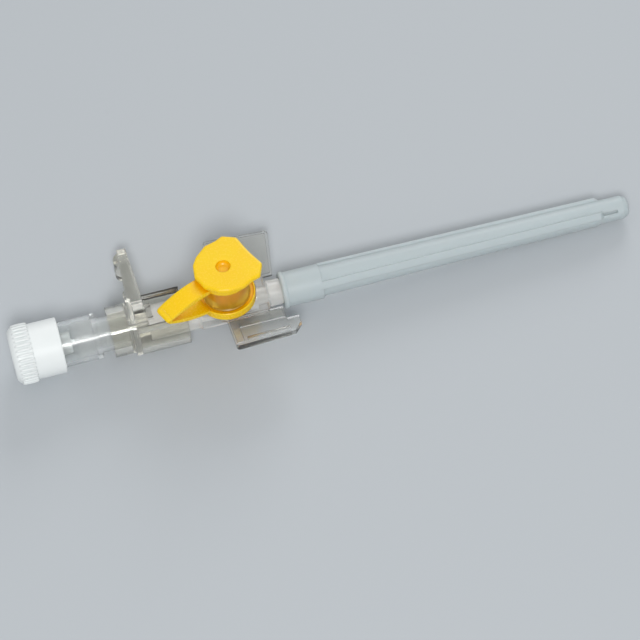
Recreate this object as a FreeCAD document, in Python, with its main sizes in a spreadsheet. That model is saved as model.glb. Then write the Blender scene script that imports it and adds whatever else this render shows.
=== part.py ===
import FreeCAD, Part
import Sketcher
import math
import os
import re

# IV cannula with a side injection port and wings, its needle cover on, in millimetres.
# Own frame of every sub-part: X along the cannula towards the needle's tip, Z up the port,
# Y to the side of the thumb plate, origin where the port's axis meets the cannula's axis.
# At the end the whole part is laid down as it rests on a table.

Vector = FreeCAD.Vector
Rotation = FreeCAD.Rotation

sizes = {
    # winged hub, turned outline along X
    "hubRear": (-14.9, "mouth of the hub's rear socket"),
    "barrelRadius": (3.2, "hub's rear barrel"),
    "shoulderRear": (-5.9, "where the barrel widens towards the port"),
    "shoulderRadius": (3.5, "hub under the port"),
    "shoulderFront": (7.0, "front end of the shoulder"),
    "hubChamfer": (0.5, "length of the hub's sloped steps"),
    "noseRadius": (2.45, "hub's nose at the shoulder"),
    "noseTipRadius": (2.2, "hub's nose at its end"),
    "noseTip": (14.0, "end of the hub's nose"),
    "earHalfWidth": (1.5, "half width of the lock ears at the socket's mouth"),
    "earRadius": (3.9, "reach of the lock ears from the axis"),
    "earLength": (1.0, "length of the lock ears along the hub"),
    # hub's bores
    "socketRadius": (2.15, "conical socket at its mouth, 6 percent taper"),
    "socketLength": (6.5, "depth of the conical socket"),
    "coneTaper": (0.03, "loss of radius per millimetre of a 6 percent cone"),
    "valveBore": (1.55, "bore that holds the valve sleeve"),
    "valveFront": (5.2, "front end of the valve bore"),
    "bushBore": (1.05, "bore that holds the catheter's bush"),
    "bushFront": (11.2, "front end of the bush's bore"),
    "catheterBore": (0.42, "hole for the catheter through the nose"),
    # port
    "portRadius": (4.15, "port's outer wall"),
    "portTop": (9.7, "top of the port above the axis"),
    "portMouth": (2.15, "port's bore at its mouth"),
    "portDepth": (5.7, "depth of the port's conical bore"),
    "portNeck": (1.0, "hole from the port's bore to the valve"),
    "seatHeight": (2.15, "flat seat of the ring above the axis"),
    "beadReach": (0.2, "snap bead on the port above the ring"),
    # wings
    "wingAngle": (20.0, "rise of each wing, degrees"),
    "wingRoot": (3.9, "distance of the wing's root line from the axis"),
    "wingRear": (-1.1, "rear edge of the wings"),
    "wingWebFront": (6.8, "front end of the web that joins a wing to the hub"),
    "wingOverlap": (1.2, "depth of that web inside the shoulder"),
    "wingFront": (9.25, "front edge of the wings at the root"),
    "wingRearSpan": (9.2, "length of a wing from root to outer edge, at the rear"),
    "wingFrontSpan": (8.5, "the same at the front"),
    "wingRake": (1.3, "how far the far wing's outer front corner leans forwards"),
    "wingFlare": (0.6, "how far its outer rear corner reaches backwards"),
    "wingStep": (2.15, "how far the near wing's outer part reaches past its root part"),
    "wingStepSpan": (4.0, "distance of that step from the root line"),
    "wingChamferSpan": (6.1, "where the near wing's front corner starts to slope"),
    "wingCorner": (0.7, "corner radius of the wings"),
    "wingThickness": (0.9, "wing at its rim"),
    "wingRecess": (0.4, "depth of the recess inside the rim"),
    "wingRim": (0.6, "width of the rim"),
    "padInner": (3.3, "near wing's raised pad, inner edge from the root line"),
    "padOuter": (6.7, "near wing's raised pad, outer edge from the root line"),
    "padRear": (0.6, "near wing's raised pad, rear end"),
    "padGap": (1.1, "width of the shallow channel outside the pad"),
    # valve, bush, catheter, needle
    "valveFit": (0.05, "gap between the valve sleeve and its bore"),
    "valveInner": (1.0, "bore of the valve sleeve"),
    "valveLength": (9.0, "length of the valve sleeve"),
    "bushFit": (0.03, "gap between the bush and its bore"),
    "bushLip": (0.35, "length of the bush's flared lip"),
    "bushLipRadius": (1.4, "radius of the bush's flared lip"),
    "catheterRadius": (0.375, "catheter's outer radius, 24 gauge"),
    "catheterWall": (0.095, "catheter's wall"),
    "catheterReach": (19.0, "catheter beyond the hub's nose"),
    "catheterTaper": (2.0, "length of the catheter's tapered tip"),
    "catheterTipRadius": (0.31, "catheter's radius at its tip"),
    "needleRadius": (0.235, "needle's outer radius"),
    "needleWall": (0.09, "needle's wall"),
    "needleProud": (3.0, "needle's tip beyond the catheter's tip"),
    "needleBevel": (1.5, "length of the needle's ground bevel"),
    "needleRearReach": (2.6, "needle's open end inside the flashback chamber"),
    "needleFit": (0.01, "gap between the needle and what holds it"),
    # needle hub
    "coneFit": (0.05, "gap between the needle hub's cone and the socket"),
    "coneLength": (7.6, "needle hub's cone in front of the web"),
    "hubGap": (2.2, "from the needle hub's web to the cannula hub's mouth"),
    "webThickness": (1.0, "web between collar and cradle"),
    "collarLength": (3.8, "collar behind the web"),
    "collarRadius": (4.65, "collar's outer radius"),
    "collarFloor": (0.5, "thickness of the collar's floor behind the web's rear face"),
    "cradleRadius": (5.25, "cradle's outer radius"),
    "cradleInner": (4.2, "cradle's inner radius"),
    "cradleLength": (10.0, "cradle from the web's rear face"),
    "cradleTop": (3.1, "height of the cradle's edges above the axis"),
    "finRear": (0.5, "thumb plate's rear face in front of the web's rear face"),
    "finThickness": (2.7, "thumb plate at its root"),
    "finTaper": (0.75, "loss of thickness on the plate's rear face towards its tip"),
    "finFrontTaper": (0.45, "the same on its front face"),
    "finRoot": (4.25, "distance of the plate's root from the axis"),
    "finReach": (16.7, "distance of the plate's tip from the axis"),
    "finHalfWidth": (3.0, "half width of the thumb plate"),
    "finCorner": (2.0, "corner radius of the thumb plate"),
    "lipPlace": (13.9, "thumb ridge, distance from the axis"),
    "lipHalfBase": (1.7, "half of the thumb ridge's base"),
    "lipHeight": (1.0, "height of the thumb ridge"),
    "lipHalfWidth": (2.2, "half length of the thumb ridge"),
    "heelPlace": (6.0, "small ridge at the plate's root, distance from the axis"),
    "heelHalfBase": (0.9, "half of the small ridge's base"),
    "heelHeight": (0.45, "height of the small ridge"),
    # flashback chamber
    "chamberFit": (0.05, "gap between the chamber and the collar's socket"),
    "neckRadius": (3.22, "chamber's narrow part"),
    "neckBore": (2.35, "bore of the narrow part"),
    "neckLength": (5.3, "narrow part from its end in the collar to the shoulder"),
    "chamberRadius": (4.13, "chamber's wide part at the shoulder"),
    "chamberRearRadius": (4.25, "chamber's wide part at the rear"),
    "chamberLength": (12.7, "length of the wide part"),
    "chamberBore": (3.35, "bore of the wide part"),
    "chamberFloor": (1.0, "wall between wide bore and shoulder"),
    "chamberSeat": (3.6, "length of the narrow seat at the rear"),
    "seatFit": (0.05, "gap between the plug's cone and that seat"),
    # plug
    "flangeRadius": (5.55, "plug's flange over its ribs"),
    "flangeLength": (2.95, "length of the ribbed flange"),
    "plugDome": (0.8, "sloped back of the plug behind its ribs"),
    "plugDomeRadius": (4.4, "radius of the plug's flat back"),
    "ribHeight": (0.28, "height of the grip ribs"),
    "ribHalfWidth": (0.28, "half width of a grip rib"),
    "ribCount": (36, "number of grip ribs"),
    "plugCollarRadius": (5.1, "plug's smooth collar"),
    "plugCollarLength": (5.35, "length of the smooth collar"),
    "plugFloor": (2.5, "thickness of the plug's end wall"),
    "plugFit": (0.05, "gap between chamber and the plug's collar"),
    "plugConeRadius": (2.0, "plug's cone"),
    "plugConeLength": (7.6, "plug's cone in front of the end wall"),
    "plugConeBore": (1.3, "bore of the plug's cone"),
    "ventRadius": (0.6, "vent hole in the end wall"),
    "plugRecess": (3.7, "radius of the recess in the plug's rear face"),
    "plugRecessDepth": (1.3, "depth of that recess"),
    "filterLength": (1.0, "thickness of the vent filter"),
    "filterFit": (0.02, "gap round the vent filter"),
    "filterInset": (0.5, "filter behind the cone's end"),
    # ring, strap and cap
    "ringFit": (0.06, "gap between port and ring"),
    "ringOuter": (5.25, "ring's outer radius"),
    "ringFloor": (1.15, "thickness of the ring's floor"),
    "ringLip": (0.45, "height of the ring's raised lip"),
    "ringLipWall": (0.35, "wall of the raised lip"),
    "strapTurn": (23.0, "turn of the strap from the cannula's rear, degrees"),
    "strapWidth": (3.7, "width of the strap"),
    "foldReach": (13.6, "film fold, distance from the port's axis"),
    "foldHeight": (7.85, "film fold, height above the cannula's axis"),
    "foldGap": (0.06, "half gap between the two halves at the fold"),
    "strapThickness": (0.85, "thickness of the strap"),
    "lowerMidReach": (9.3, "lower half's bend, distance from the port's axis"),
    "lowerMidHeight": (4.95, "lower half's bend, height of its underside"),
    "upperMidHeight": (8.55, "upper half's middle, height of its underside"),
    "capTop": (11.1, "top of the cap above the cannula's axis"),
    "discThickness": (1.3, "thickness of the cap's disc"),
    "discRadius": (5.35, "cap's disc towards the strap"),
    "discHalfWidth": (5.75, "half width of the disc across the strap"),
    "tabReach": (6.95, "reach of the two finger tabs"),
    "tabMiddle": (5.6, "disc's edge between the tabs"),
    "discCorner": (0.6, "rounding of the disc's corners, seen from above"),
    "discEdge": (0.4, "rounding of the disc's top edge"),
    "discUnderside": (0.45, "chamfer of the disc's bottom edge"),
    "dimpleRadius": (1.35, "dimple in the disc"),
    "dimpleDepth": (0.85, "depth of the dimple"),
    "skirtInner": (4.3, "cap's skirt round the port's top"),
    "skirtWall": (0.45, "wall of the skirt"),
    "skirtDepth": (1.2, "skirt below the disc"),
    "plugRadius": (2.05, "cap's plug at the disc"),
    "plugTipRadius": (1.6, "cap's plug at its end"),
    "plugLength": (5.4, "length of the cap's plug"),
    # needle cover
    "coverGap": (0.6, "from the wings' root front to the cover's mouth"),
    "coverRimRadius": (3.42, "rounded rim at the cover's mouth"),
    "coverRimLength": (1.0, "length of the rim"),
    "coverSocketRadius": (3.22, "cover's smooth socket"),
    "coverSocketLength": (7.45, "length of the smooth socket"),
    "coverFit": (0.05, "gap between nose and cover"),
    "coverCoreRear": (2.8, "cover's core behind"),
    "coverCoreFront": (2.14, "cover's core in front"),
    "coverLength": (65.65, "whole length of the cover"),
    "coverWall": (0.8, "wall of the cover's core"),
    "coverEnd": (1.6, "thickness of the cover's closed end"),
    "coverRound": (0.8, "chamfer of the closed end"),
    "coverRibRear": (3.2, "cover's ribs at the socket"),
    "coverRibFront": (2.74, "cover's ribs at their front end"),
    "coverRibWidth": (1.4, "width of a cover rib"),
    "coverBareTip": (5.1, "cover's tip in front of its ribs"),
    "coverRibSlope": (0.6, "length of the slope at a rib's front end"),
    "coverRibAngle": (23.7, "turn of the first rib from the thumb plate's side, degrees"),
    "coverRibCount": (3, "number of ribs"),
    "slotLength": (2.8, "slot in front of each rib"),
    "slotWidth": (0.5, "width of the slot"),
    "slotDepth": (0.5, "depth of the slot"),
    "slotGap": (0.0, "from the rib's end to the slot"),
}

doc = FreeCAD.newDocument("iv_cannula")
sheet = doc.addObject("Spreadsheet::Sheet", "Sizes")
for row, (alias, (size, meaning)) in enumerate(sizes.items(), start=1):
    sheet.set(f"A{row}", alias)
    sheet.set(f"B{row}", str(size))
    sheet.set(f"C{row}", meaning)
    sheet.setAlias(f"B{row}", alias)
doc.recompute()


def bound(text):
    """An expression in which every size's name points at its cell."""
    return re.sub(r"[A-Za-z]+", lambda word: f"Sizes.{word[0]}" if word[0] in sizes else word[0], text)


def valueOf(text):
    """What an expression of sizes comes to now."""
    return float(sheet.evalExpression(bound(text)))


def newBody(name):
    body = doc.addObject("PartDesign::Body", name)
    body.Label = name
    return body


def newSketch(body, name, plane, lift="0", tilt=None, shift="0"):
    """A sketch on one of the body's own planes, lifted along its normal and tilted about its x axis."""
    sketch = body.newObject("Sketcher::SketchObject", name)
    support = [feature for feature in body.Origin.OriginFeatures if feature.Role == plane][0]
    sketch.AttachmentSupport = (support, [""])
    sketch.MapMode = "FlatFace"
    angle = valueOf(tilt) if tilt else 0
    turn = Rotation(Vector(math.copysign(1, angle), 0, 0), abs(angle))
    sketch.AttachmentOffset = FreeCAD.Placement(Vector(0, valueOf(shift), valueOf(lift)), turn)
    if lift != "0":
        sketch.setExpression("AttachmentOffset.Base.z", bound(lift))
    if shift != "0":
        sketch.setExpression("AttachmentOffset.Base.y", bound(shift))
    if tilt:
        sketch.setExpression("AttachmentOffset.Rotation.Angle", bound(f"abs({tilt})"))
    return sketch


def pinPoint(sketch, geometry, position, place):
    """Ties a point of the sketch to two expressions."""
    for kind, axis, text in (("DistanceX", -2, place[0]), ("DistanceY", -1, place[1])):
        if text == "0":
            sketch.addConstraint(Sketcher.Constraint("PointOnObject", geometry, position, axis))
            continue
        number = sketch.addConstraint(
            Sketcher.Constraint(kind, -1, 1, geometry, position, valueOf(text)))
        sketch.setExpression(f"Constraints[{number}]", bound(text))


def arcBetween(centre, start, end, clockwise):
    """An arc of a circle and which of its two ends is the start."""
    first, last = (end, start) if clockwise else (start, end)
    angles = [math.atan2(point.y - centre.y, point.x - centre.x) for point in (first, last)]
    if angles[1] <= angles[0]:
        angles[1] += 2 * math.pi
    circle = Part.Circle(centre, Vector(0, 0, 1), (start - centre).Length)
    return Part.ArcOfCircle(circle, *angles), (2, 1) if clockwise else (1, 2)


def circleCentre(first, middle, last):
    """Centre of the circle through three points of a sketch."""
    a, b = middle - first, last - first
    cross = 2 * (a.x * b.y - a.y * b.x)
    x = (b.y * a.Length ** 2 - a.y * b.Length ** 2) / cross
    y = (a.x * b.Length ** 2 - b.x * a.Length ** 2) / cross
    return first + Vector(x, y, 0), cross < 0


def drawOutline(sketch, corners):
    """A closed outline. A corner is (x, y), and may add round= or, for the edge after it, via=."""
    places = [corner[:2] for corner in corners]
    extras = [corner[2] if len(corner) > 2 else {} for corner in corners]
    points = [Vector(valueOf(x), valueOf(y), 0) for x, y in places]
    count = len(points)
    entry, leave, rounds = {}, {}, {}
    for i in range(count):
        entry[i] = leave[i] = points[i]
        if "round" in extras[i]:
            radius = valueOf(extras[i]["round"])
            back = (points[i - 1] - points[i]).normalize()
            ahead = (points[(i + 1) % count] - points[i]).normalize()
            half = back.getAngle(ahead) / 2
            entry[i] = points[i] + back * (radius / math.tan(half))
            leave[i] = points[i] + ahead * (radius / math.tan(half))
            centre = points[i] + (back + ahead).normalize() * (radius / math.sin(half))
            rounds[i] = (centre, (ahead.cross(back)).z < 0)
    edges = []
    for i in range(count):
        start, end = leave[i], entry[(i + 1) % count]
        if "via" in extras[i]:
            middle = Vector(*[valueOf(text) for text in extras[i]["via"]], 0)
            centre, clockwise = circleCentre(start, middle, end)
            arc, ends = arcBetween(centre, start, end, clockwise)
            edge = sketch.addGeometry(arc, False)
            point = sketch.addGeometry(Part.Point(middle), True)
            pinPoint(sketch, point, 1, extras[i]["via"])
            sketch.addConstraint(Sketcher.Constraint("PointOnObject", point, 1, edge))
        else:
            ends = (1, 2)
            edge = sketch.addGeometry(Part.LineSegment(start, end), False)
        edges.append((edge, ends))
    for i in range(count):
        (before, beforeEnds), (after, afterEnds) = edges[i - 1], edges[i]
        if i not in rounds:
            sketch.addConstraint(
                Sketcher.Constraint("Coincident", before, beforeEnds[1], after, afterEnds[0]))
            pinPoint(sketch, after, afterEnds[0], places[i])
            continue
        centre, clockwise = rounds[i]
        arc, ends = arcBetween(centre, entry[i], leave[i], clockwise)
        curve = sketch.addGeometry(arc, False)
        corner = sketch.addGeometry(Part.Point(points[i]), True)
        pinPoint(sketch, corner, 1, places[i])
        sketch.addConstraint(Sketcher.Constraint("Tangent", before, beforeEnds[1], curve, ends[0]))
        sketch.addConstraint(Sketcher.Constraint("Tangent", after, afterEnds[0], curve, ends[1]))
        sketch.addConstraint(Sketcher.Constraint("PointOnObject", corner, 1, before))
        sketch.addConstraint(Sketcher.Constraint("PointOnObject", corner, 1, after))
        number = sketch.addConstraint(
            Sketcher.Constraint("Radius", curve, valueOf(extras[i]["round"])))
        sketch.setExpression(f"Constraints[{number}]", bound(extras[i]["round"]))


def addFeature(body, kind, sketch, cutting):
    """A feature of the body from a sketch, checked to add or to cut."""
    before = body.Shape.Volume if not body.Shape.isNull() else 0
    feature = body.newObject(kind, f"{sketch.Name}_{kind.split('::')[1]}")
    feature.Profile = sketch
    sketch.Visibility = False
    return feature, before, cutting


def settle(body, feature, before, cutting):
    """Recomputes the body and stops where the feature did nothing."""
    doc.recompute()
    change = body.Shape.Volume - before
    if (change >= 0) if cutting else (change <= 0):
        raise RuntimeError(f"{feature.Name} in {body.Name} changes nothing")
    return feature


def turned(body, name, corners, axis="H_Axis", cutting=False):
    """A profile on the XZ plane, turned about X (H_Axis) or Z (V_Axis)."""
    sketch = newSketch(body, name, "XZ_Plane")
    drawOutline(sketch, corners)
    kind = "PartDesign::Groove" if cutting else "PartDesign::Revolution"
    feature, before, cutting = addFeature(body, kind, sketch, cutting)
    feature.ReferenceAxis = (sketch, [axis])
    feature.Angle = 360
    return settle(body, feature, before, cutting)


def extruded(body, name, plane, corners, length, cutting=False, symmetric=False, flipped=False, **seat):
    """A profile on a plane of the body, padded or cut along the plane's normal."""
    sketch = newSketch(body, name, plane, **seat)
    drawOutline(sketch, corners)
    kind = "PartDesign::Pocket" if cutting else "PartDesign::Pad"
    feature, before, cutting = addFeature(body, kind, sketch, cutting)
    feature.SideType = "Symmetric" if symmetric else "One side"
    feature.Reversed = flipped
    feature.Length = valueOf(length)
    feature.setExpression("Length", bound(length))
    return settle(body, feature, before, cutting)


def repeated(body, feature, count):
    """Repeats a feature evenly round the X axis."""
    before = body.Shape.Volume
    pattern = body.newObject("PartDesign::PolarPattern", f"{feature.Name}_Round")
    pattern.Originals = [feature]
    pattern.Axis = (feature.Profile[0], ["N_Axis"]) if count is None else axisX(body)
    pattern.Angle = 360
    pattern.Occurrences = int(valueOf(count))
    pattern.setExpression("Occurrences", bound(count))
    body.Tip = pattern
    doc.recompute()
    if abs(body.Shape.Volume - before) < 1e-6:
        raise RuntimeError(f"{pattern.Name} repeats nothing")
    return pattern


def axisX(body):
    return ([feature for feature in body.Origin.OriginFeatures if feature.Role == "X_Axis"][0], [""])


def box(left, right, bottom, top):
    """Corners of an upright rectangle, given by four expressions."""
    return [(left, bottom), (right, bottom), (right, top), (left, top)]


# Stations along the cannula that several sub-parts share
socketEnd = "(hubRear + socketLength)"
webFront = "(hubRear - hubGap)"
webRear = "(hubRear - hubGap - webThickness)"
cradleFront = "(hubRear - hubGap - webThickness + cradleLength)"
collarRear = "(hubRear - hubGap - webThickness - collarLength)"
collarFloorFace = "(hubRear - hubGap - webThickness - collarFloor)"
neckEnd = "(hubRear - hubGap - webThickness - collarFloor - chamberFit)"
shoulderFace = "(hubRear - hubGap - webThickness - collarFloor - chamberFit - neckLength)"
chamberRear = shoulderFace[:-1] + " - chamberLength)"
plugFloorFace = chamberRear[:-1] + " - plugFit)"
plugRear = plugFloorFace[:-1] + " - plugFloor)"
plugConeEnd = plugFloorFace[:-1] + " + plugConeLength)"
catheterTip = "(noseTip + catheterReach)"
needleTip = "(noseTip + catheterReach + needleProud)"
coverMouth = "(wingFront + coverGap)"
coverSocketEnd = "(wingFront + coverGap + coverSocketLength)"
coverTip = "(wingFront + coverGap + coverLength)"
coverRibEnd = "(wingFront + coverGap + coverLength - coverBareTip)"
ringTop = "(seatHeight + ringFloor + ringLip)"
discBottom = "(capTop - discThickness)"


def makeWing(body, name, side, outline, recesses):
    """One wing: a rimmed plate that rises outwards from its root line. side is 1 far, -1 near."""
    seat = {"tilt": f"{side} * wingAngle", "shift": f"{side} * wingRoot"}
    turnedOut = [(x, f"{side} * ({y})") + tuple(rest) for x, y, *rest in outline]
    extruded(body, f"{name}Plate", "XY_Plane", turnedOut, "wingThickness", symmetric=True, **seat)
    for number, corners in enumerate(recesses):
        hollow = [(x, f"{side} * ({y})") + tuple(rest) for x, y, *rest in corners]
        extruded(body, f"{name}Recess{number}", "XY_Plane", hollow, "wingRecess", cutting=True,
                 lift="wingThickness / 2", **seat)


def makeCannulaHub():
    body = newBody("cannula_hub")
    turned(body, "HubOutline", [
        ("hubRear", "0"), ("hubRear", "barrelRadius"), ("shoulderRear", "barrelRadius"),
        ("shoulderRear + hubChamfer", "shoulderRadius"), ("shoulderFront", "shoulderRadius"),
        ("shoulderFront + hubChamfer", "noseRadius"), ("noseTip", "noseTipRadius"), ("noseTip", "0")])
    turned(body, "Port", [
        ("0", "0"), ("portRadius", "0"), ("portRadius", "portTop"), ("0", "portTop")], axis="V_Axis")
    extruded(body, "LockEars", "YZ_Plane",
             box("-earHalfWidth", "earHalfWidth", "-earRadius", "earRadius"), "earLength", lift="hubRear")
    root = [("wingRear", "-wingOverlap"), ("wingWebFront", "-wingOverlap"), ("wingWebFront", "0")]
    corner = {"round": "wingCorner"}
    makeWing(body, "FarWing", 1, root + [
        ("wingFront", "0"), ("wingFront + wingRake", "wingFrontSpan", corner),
        ("wingRear - wingFlare", "wingRearSpan", corner)], [[
            ("wingRear + wingRim / 2", "wingRim / 2"), ("wingFront - wingRim / 2", "wingRim / 2"),
            ("wingFront + wingRake - wingRim", "wingFrontSpan - wingRim"),
            ("wingRear - wingFlare + wingRim / 2", "wingRearSpan - wingRim")]])
    makeWing(body, "NearWing", -1, root + [
        ("wingFront", "0"), ("wingFront", "wingStepSpan"), ("wingFront + wingStep", "wingStepSpan"),
        ("wingFront + wingStep", "wingChamferSpan"), ("wingFront + wingRim", "wingFrontSpan"),
        ("wingRear", "wingRearSpan", corner)], [[
            ("wingRear + wingRim / 2", "wingRim / 2"), ("wingFront - wingRim / 2", "wingRim / 2"),
            ("wingFront - wingRim / 2", "padInner"), ("padRear", "padInner"),
            ("padRear", "wingRearSpan - 2 * wingRim"),
            ("wingRear + wingRim / 2", "wingRearSpan - 2 * wingRim")], [
            ("padRear + wingRim", "padOuter"), ("wingFront", "padOuter - wingRim / 2"),
            ("wingFront", "padOuter - wingRim / 2 + padGap"), ("padRear + wingRim", "padOuter + padGap")]])
    turned(body, "RingSeat", box("portRadius", "ringOuter + 2 * ringFit", "seatHeight",
                                 "shoulderRadius + ringFloor"), axis="V_Axis", cutting=True)
    beadFoot = "seatHeight + ringFloor + ringFit"
    turned(body, "PortBead", [
        ("portRadius - beadReach", beadFoot), ("portRadius", beadFoot),
        ("portRadius + beadReach", f"{beadFoot} + beadReach"),
        ("portRadius - beadReach", f"{beadFoot} + 3 * beadReach")], axis="V_Axis")
    turned(body, "MainBore", [
        ("hubRear", "0"), ("hubRear", "socketRadius"),
        (socketEnd, "socketRadius - coneTaper * socketLength"), (socketEnd, "valveBore"),
        ("valveFront", "valveBore"), ("valveFront", "bushBore"), ("bushFront", "bushBore"),
        ("bushFront", "catheterBore"), ("noseTip", "catheterBore"), ("noseTip", "0")], cutting=True)
    portFloor = "portTop - portDepth"
    turned(body, "PortBore", [
        ("0", "0"), ("portNeck", "0"), ("portNeck", portFloor),
        ("portMouth - coneTaper * portDepth", portFloor), ("portMouth", "portTop"), ("0", "portTop")],
        axis="V_Axis", cutting=True)
    return body


def makeTube(name, rear, front, inner, outer):
    body = newBody(name)
    turned(body, "Wall", box(rear, front, inner, outer))
    return body


def makeValveSleeve():
    return makeTube("valve_sleeve", "-valveLength / 2", "valveLength / 2", "valveInner", "valveBore - valveFit")


def makeCatheterBush():
    body = newBody("catheter_bush")
    inner = "catheterRadius + needleFit"
    outer = "bushBore - bushFit"
    turned(body, "Wall", [
        ("valveFront - bushLip", inner), ("valveFront - bushLip", "bushLipRadius"),
        ("valveFront - bushFit", "bushLipRadius"), ("valveFront - bushFit", outer),
        ("bushFront - bushFit", outer), ("bushFront - bushFit", inner)])
    return body


def makeCatheter():
    body = newBody("catheter")
    inner = "catheterRadius - catheterWall"
    turned(body, "Wall", [
        ("valveFront - bushLip", inner), ("valveFront - bushLip", "catheterRadius"),
        (catheterTip + " - catheterTaper", "catheterRadius"), (catheterTip, "catheterTipRadius"),
        (catheterTip, inner)])
    return body


def makeNeedle():
    rear = collarFloorFace + " - needleRearReach"
    body = makeTube("needle", rear, needleTip, "needleRadius - needleWall", "needleRadius")
    extruded(body, "Bevel", "XZ_Plane", [
        (needleTip + " - needleBevel", "needleRadius"), (needleTip, "-needleRadius"),
        (needleTip + " + needleRadius", "-needleRadius"), (needleTip + " + needleRadius", "needleRadius")],
        "4 * needleRadius", cutting=True, symmetric=True)
    return body


def makeNeedleHub():
    body = newBody("needle_hub")
    socket = "neckRadius + chamberFit"
    hole = "needleRadius + needleFit"
    mouthCone = "socketRadius - coneFit"
    coneTip = f"{webFront} + coneLength"
    turned(body, "CollarAndCone", [
        (collarRear, socket), (collarRear, "collarRadius"), (webRear, "collarRadius"),
        (webRear, "cradleRadius"), (webFront, "cradleRadius"), (webFront, f"{mouthCone} + coneTaper * hubGap"),
        (coneTip, f"{mouthCone} - coneTaper * (coneLength - hubGap)"), (coneTip, hole),
        (collarFloorFace, hole), (collarFloorFace, socket)])
    outerEdge = "sqrt(cradleRadius * cradleRadius - cradleTop * cradleTop)"
    innerEdge = "sqrt(cradleInner * cradleInner - cradleTop * cradleTop)"
    extruded(body, "Cradle", "YZ_Plane", [
        (f"-{outerEdge}", "cradleTop", {"via": ("0", "-cradleRadius")}), (outerEdge, "cradleTop"),
        (innerEdge, "cradleTop", {"via": ("0", "-cradleInner")}), (f"-{innerEdge}", "cradleTop")],
        "cradleLength", lift=webRear)
    finRearFace = f"{webRear} + finRear"
    finFrontFace = f"{finRearFace} + finThickness"
    corner = {"round": "finCorner"}
    extruded(body, "ThumbPlate", "YZ_Plane", [
        ("finRoot", "-finHalfWidth"), ("finReach", "-finHalfWidth", corner),
        ("finReach", "finHalfWidth", corner), ("finRoot", "finHalfWidth")], "finThickness", lift=finRearFace)
    wide = "3 * finHalfWidth"
    extruded(body, "RearTaper", "XY_Plane", [
        (finRearFace, "cradleRadius"), (f"{finRearFace} + finTaper", "finReach"),
        (f"{finRearFace} + finTaper", "finReach + finCorner"), (f"{finRearFace} - finTaper", "finReach + finCorner"),
        (f"{finRearFace} - finTaper", "cradleRadius")], wide, cutting=True, symmetric=True)
    extruded(body, "FrontTaper", "XY_Plane", [
        (finFrontFace, "cradleRadius"), (f"{finFrontFace} - finFrontTaper", "finReach"),
        (f"{finFrontFace} - finFrontTaper", "finReach + finCorner"),
        (f"{finFrontFace} + finTaper", "finReach + finCorner"), (f"{finFrontFace} + finTaper", "cradleRadius")],
        wide, cutting=True, symmetric=True)
    extruded(body, "ThumbRidge", "XY_Plane", ridge(finRearFace, "lipPlace", "lipHalfBase", "lipHeight"),
             "2 * lipHalfWidth", symmetric=True)
    extruded(body, "HeelRidge", "XY_Plane", ridge(finRearFace, "heelPlace", "heelHalfBase", "heelHeight"),
             "2 * lipHalfWidth", symmetric=True)
    return body


def ridge(face, place, halfBase, height):
    """A low rounded ridge on the plate's rear face, its foot sunk in the plate."""
    slope = f"finTaper * ({place} - cradleRadius) / (finReach - cradleRadius)"
    surface = f"{face} + {slope}"
    foot = f"{surface} + height"
    foot = foot.replace("height", f"({height})")
    return [
        (foot, f"{place} - {halfBase}", {"via": (f"{surface} - {height}", place)}),
        (foot, f"{place} + {halfBase}")]


def makeFlashChamber():
    body = newBody("flash_chamber")
    seatFront = f"{chamberRear} + chamberSeat"
    turned(body, "Wall", [
        (chamberRear, "plugConeRadius + seatFit"), (chamberRear, "chamberRearRadius"),
        (shoulderFace, "chamberRadius"), (shoulderFace, "neckRadius"), (neckEnd, "neckRadius"),
        (neckEnd, "neckBore"), (f"{shoulderFace} - chamberFloor", "neckBore"),
        (f"{shoulderFace} - chamberFloor", "chamberBore"), (seatFront, "chamberBore"),
        (seatFront, "plugConeRadius + seatFit")])
    return body


def makeLuerPlug():
    body = newBody("luer_plug")
    flangeFront = f"{plugRear} + flangeLength"
    collarEnd = f"{flangeFront} + plugCollarLength"
    turned(body, "PlugWall", [
        (f"{plugRear} + plugRecessDepth", "ventRadius"), (f"{plugRear} + plugRecessDepth", "plugRecess"),
        (f"{plugRear} - plugDome", "plugRecess"), (f"{plugRear} - plugDome", "plugDomeRadius"),
        (plugRear, "flangeRadius - ribHeight"),
        (flangeFront, "flangeRadius - ribHeight"), (flangeFront, "plugCollarRadius"),
        (collarEnd, "plugCollarRadius"), (collarEnd, "chamberRearRadius + plugFit"),
        (plugFloorFace, "chamberRearRadius + plugFit"), (plugFloorFace, "plugConeRadius"),
        (plugConeEnd, "plugConeRadius"), (plugConeEnd, "plugConeBore"),
        (plugFloorFace, "plugConeBore"), (plugFloorFace, "ventRadius")])
    rib = extruded(body, "GripRib", "YZ_Plane", [
        ("-ribHalfWidth", "flangeRadius - 2 * ribHeight"), ("ribHalfWidth", "flangeRadius - 2 * ribHeight"),
        ("ribHalfWidth", "flangeRadius - ribHeight"), ("ribHalfWidth * 0.6", "flangeRadius - ribHeight * 0.15"),
        ("-ribHalfWidth * 0.6", "flangeRadius - ribHeight * 0.15"), ("-ribHalfWidth", "flangeRadius - ribHeight")],
        "flangeLength", lift=plugRear)
    repeated(body, rib, "ribCount")
    return body


def makeVentFilter():
    front = f"{plugConeEnd} - filterInset"
    body = newBody("vent_filter")
    turned(body, "Disc", [
        (f"{front} - filterLength", "0"), (front, "0"), (front, "plugConeBore - filterFit"),
        (f"{front} - filterLength", "plugConeBore - filterFit")])
    return body


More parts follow.
